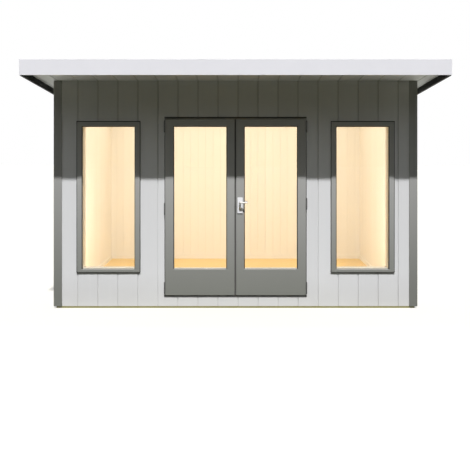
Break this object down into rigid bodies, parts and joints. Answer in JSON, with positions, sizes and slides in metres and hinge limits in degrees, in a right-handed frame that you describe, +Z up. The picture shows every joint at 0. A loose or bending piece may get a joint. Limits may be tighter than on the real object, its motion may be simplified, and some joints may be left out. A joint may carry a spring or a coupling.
{
  "type": "garden office pod",
  "caption": "Insulated timber garden room with vertical boarding, glazed double doors between tall fixed windows, and a shallow single-slope roof with a deep front overhang.",
  "frame": {"origin": "on the ground under the middle of the roof's plan", "axes": "+Z up, front with the doors towards -Y, +X to the right seen from the front"},
  "size_m": [3.9, 3.15, 2.389],
  "materials": {
    "treated_timber": "rough sawn, pressure treated",
    "structural_panel": "insulated panel with board faces",
    "floor_wood": "satin lacquered boards",
    "painted_cladding": "pale grey matt paint on tongued boards",
    "cream_lining": "cream matt paint on tongued boards",
    "grey_paint": "mid grey satin paint",
    "white_fascia": "white satin paint",
    "roof_rubber": "matt black rubber roofing sheet",
    "glass": "clear sealed units",
    "threshold_metal": "mill finish aluminium",
    "satin_metal": "satin chrome",
    "lock_brass": "satin nickel"
  },
  "bodies": {
    "building": {"floor_bearers": "treated_timber", "floor_panel": "structural_panel", "front_left_wall": "structural_panel", "front_right_wall": "structural_panel", "front_head_wall": "structural_panel", "left_wall": "structural_panel", "right_wall": "structural_panel", "back_wall": "structural_panel", "roof_panel": "structural_panel", "floor_boards": "floor_wood", "front_left_cladding": "painted_cladding", "front_right_cladding": "painted_cladding", "front_head_cladding": "painted_cladding", "front_sill_cladding": "painted_cladding", "left_cladding": "painted_cladding", "right_cladding": "painted_cladding", "back_cladding": "painted_cladding", "soffit_boards": "painted_cladding", "front_left_lining": "cream_lining", "front_right_lining": "cream_lining", "front_head_lining": "cream_lining", "left_lining": "cream_lining", "right_lining": "cream_lining", "back_lining": "cream_lining", "skirting": "cream_lining", "ceiling_boards": "cream_lining", "window_liners": "cream_lining", "corner_trims": "grey_paint", "left_window_frame": "grey_paint", "right_window_frame": "grey_paint", "left_door_jamb": "grey_paint", "right_door_jamb": "grey_paint", "door_head": "grey_paint", "front_fascia": "white_fascia", "back_fascia": "white_fascia", "side_fascias": "white_fascia", "roof_sheet": "roof_rubber", "window_glass": "glass", "door_threshold": "threshold_metal", "frame_hinges": "satin_metal"},
    "left_door": {"left_door_leaf": "grey_paint", "left_door_glass": "glass", "left_door_beads": "cream_lining", "left_door_hinges": "satin_metal"},
    "right_door": {"right_door_leaf": "grey_paint", "right_door_glass": "glass", "right_door_beads": "cream_lining", "right_door_hinges": "satin_metal", "handle_backplates": "satin_metal", "lock_cylinder": "lock_brass"},
    "door_lever": {"lever_handle": "satin_metal"}
  },
  "joints": [
    {"name": "left_door_swing", "type": "hinge", "parent": "building", "child": "left_door", "pos_m": [-0.701, -0.995, 1], "axis": [0, 0, -1], "range_deg": [0, 110]},
    {"name": "right_door_swing", "type": "hinge", "parent": "building", "child": "right_door", "pos_m": [0.701, -0.995, 1], "axis": [0, 0, 1], "range_deg": [0, 110]},
    {"name": "lever_turn", "type": "hinge", "parent": "right_door", "child": "door_lever", "pos_m": [0.045, -0.966, 1.048], "axis": [0, 1, 0], "range_deg": [0, 40], "stiffness_Nm_per_rad": 1.5, "springref_deg": -28.65}
  ]
}
